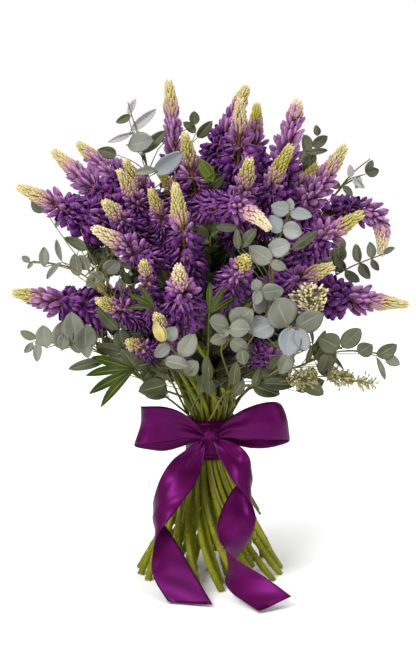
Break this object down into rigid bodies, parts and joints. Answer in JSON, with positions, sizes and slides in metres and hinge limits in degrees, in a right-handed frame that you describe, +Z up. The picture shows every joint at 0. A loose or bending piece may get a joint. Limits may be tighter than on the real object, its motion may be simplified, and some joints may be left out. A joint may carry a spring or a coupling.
{
  "type": "lupin flower bouquet",
  "caption": "Hand-tied bouquet of purple lupin flower spikes with eucalyptus and lupin leaves, bound by a satin ribbon with a bow and curled tails; it stands on its spread cut stems.",
  "frame": {"origin": "middle of the ring of cut stem ends, on the surface that they stand on", "axes": "+Z up from the cut ends through the tie to the flower heads; the bow faces -Y; +X is to the right as the bow is seen"},
  "size_m": [0.419, 0.3882, 0.546],
  "materials": {
    "stem": "fresh green stem, faintly ribbed, paler at the buds",
    "floret": "soft matte violet petals with mauve edges",
    "eucalyptus_leaf": "waxy grey-green with a pale bloom",
    "lupin_leaf": "fresh green, softly satin",
    "seed": "matte cream seed capsules",
    "ribbon": "deep purple satin"
  },
  "bodies": {
    "root": {"lupin_stems": "stem", "lupin_florets_far_left": "floret", "lupin_florets_low_left": "floret", "lupin_florets_left_high": "floret", "lupin_florets_left_back": "floret", "lupin_florets_left_pair_a": "floret", "lupin_florets_left_pair_b": "floret", "lupin_florets_top_left": "floret", "lupin_florets_upper_mid": "floret", "lupin_florets_green_bud": "floret", "lupin_florets_tall_front": "floret", "lupin_florets_small_left": "floret", "lupin_florets_left_inner": "floret", "lupin_florets_cream_left": "floret", "lupin_florets_top_centre": "floret", "lupin_florets_top_behind": "floret", "lupin_florets_top_green": "floret", "lupin_florets_top_right": "floret", "lupin_florets_bent_bud": "floret", "lupin_florets_centre_high": "floret", "lupin_florets_long_right": "floret", "lupin_florets_right_behind": "floret", "lupin_florets_hook_right": "floret", "lupin_florets_right_mid": "floret", "lupin_florets_right_inner": "floret", "lupin_florets_far_right": "floret", "lupin_florets_droop": "floret", "lupin_florets_end_on": "floret", "lupin_florets_burst": "floret", "lupin_florets_small_up": "floret", "lupin_florets_low_inner": "floret", "lupin_florets_low_front": "floret", "lupin_florets_low_bud": "floret", "lupin_florets_low_right": "floret", "lupin_florets_back_left": "floret", "lupin_florets_back_mid_left": "floret", "lupin_florets_back_mid_right": "floret", "lupin_florets_back_right": "floret", "lupin_florets_back_low_left": "floret", "lupin_florets_back_low_right": "floret", "lupin_florets_back_low": "floret", "eucalyptus_right_front_high": "eucalyptus_leaf", "eucalyptus_right_front_low": "eucalyptus_leaf", "eucalyptus_left_front_low": "eucalyptus_leaf", "eucalyptus_left_low": "eucalyptus_leaf", "eucalyptus_left_mid": "eucalyptus_leaf", "eucalyptus_left_high": "eucalyptus_leaf", "eucalyptus_top_right": "eucalyptus_leaf", "eucalyptus_right_high": "eucalyptus_leaf", "eucalyptus_right_mid": "eucalyptus_leaf", "eucalyptus_right_low": "eucalyptus_leaf", "eucalyptus_back_right": "eucalyptus_leaf", "eucalyptus_back_left": "eucalyptus_leaf", "seeded_eucalyptus": "seed", "lupin_leaves_left": "lupin_leaf", "lupin_leaves_right": "lupin_leaf", "ribbon_band": "ribbon", "ribbon_bow": "ribbon", "ribbon_tail_left": "ribbon", "ribbon_tail_right": "ribbon"}
  },
  "joints": []
}
